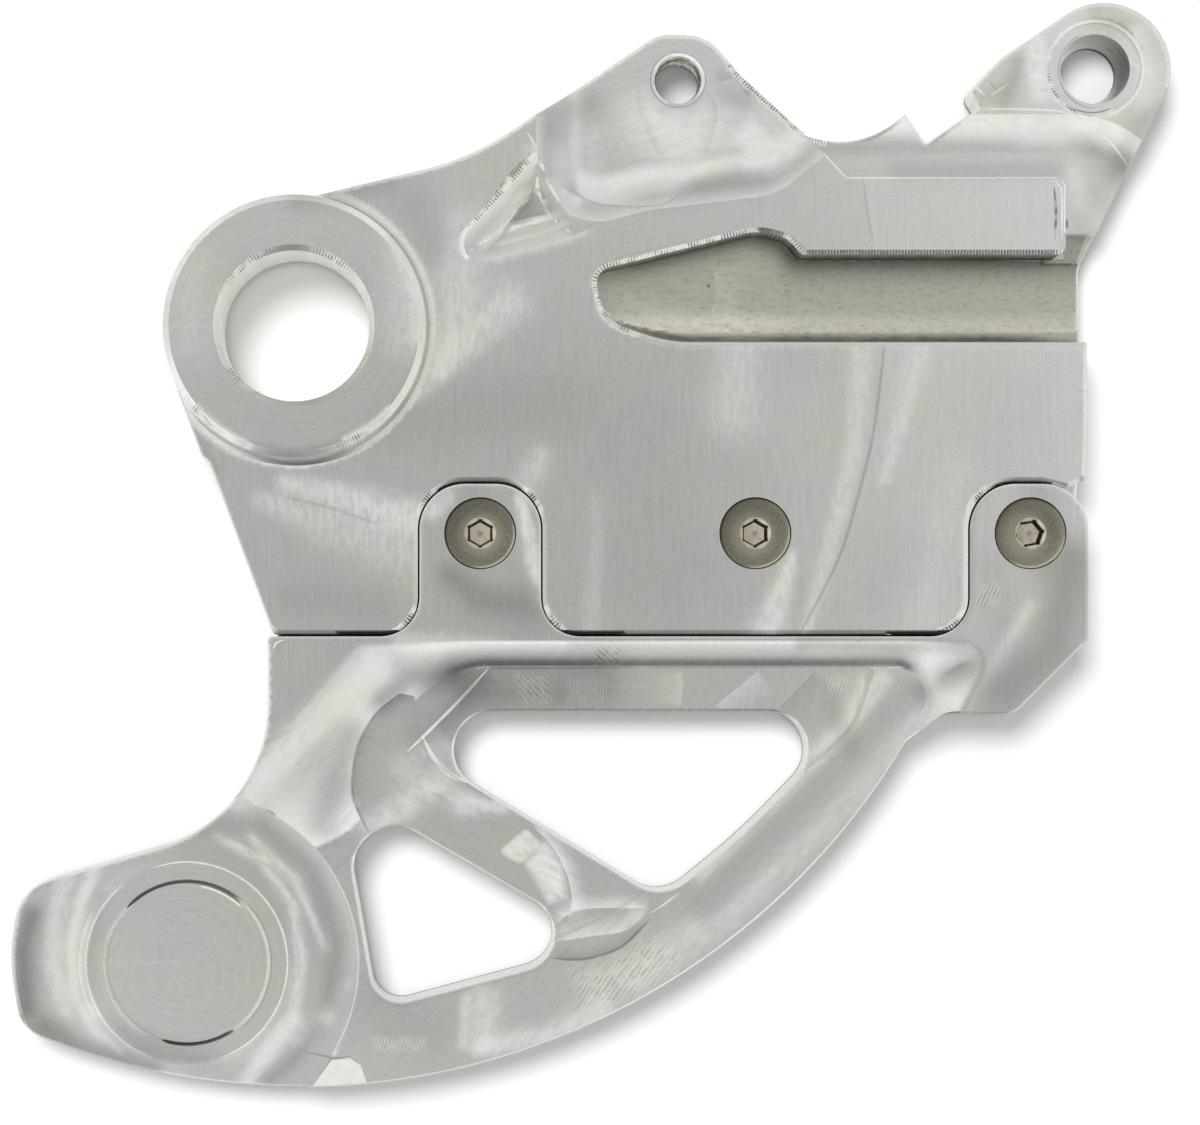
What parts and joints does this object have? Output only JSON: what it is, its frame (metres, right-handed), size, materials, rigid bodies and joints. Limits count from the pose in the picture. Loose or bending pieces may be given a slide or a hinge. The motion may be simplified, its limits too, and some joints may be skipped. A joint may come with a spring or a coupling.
{
  "type": "rear brake disc guard",
  "caption": "Flat milled plate that carries a rear brake caliper on the axle, with a bolt-on windowed fin that shields the brake disc.",
  "frame": {"origin": "middle of the plan at the flat back", "axes": "+Z out of the milled face, +X from the axle's boss towards the caliper pin's lug, +Y towards the caliper"},
  "size_m": [0.1964, 0.1834, 0.016],
  "materials": {
    "carrier_metal": "milled, satin",
    "guard_metal": "milled, satin",
    "screw_metal": "plain stainless"
  },
  "bodies": {
    "root": {"carrier": "carrier_metal", "disc_guard": "guard_metal", "guard_screw_1": "screw_metal", "guard_screw_2": "screw_metal", "guard_screw_3": "screw_metal"}
  },
  "joints": []
}
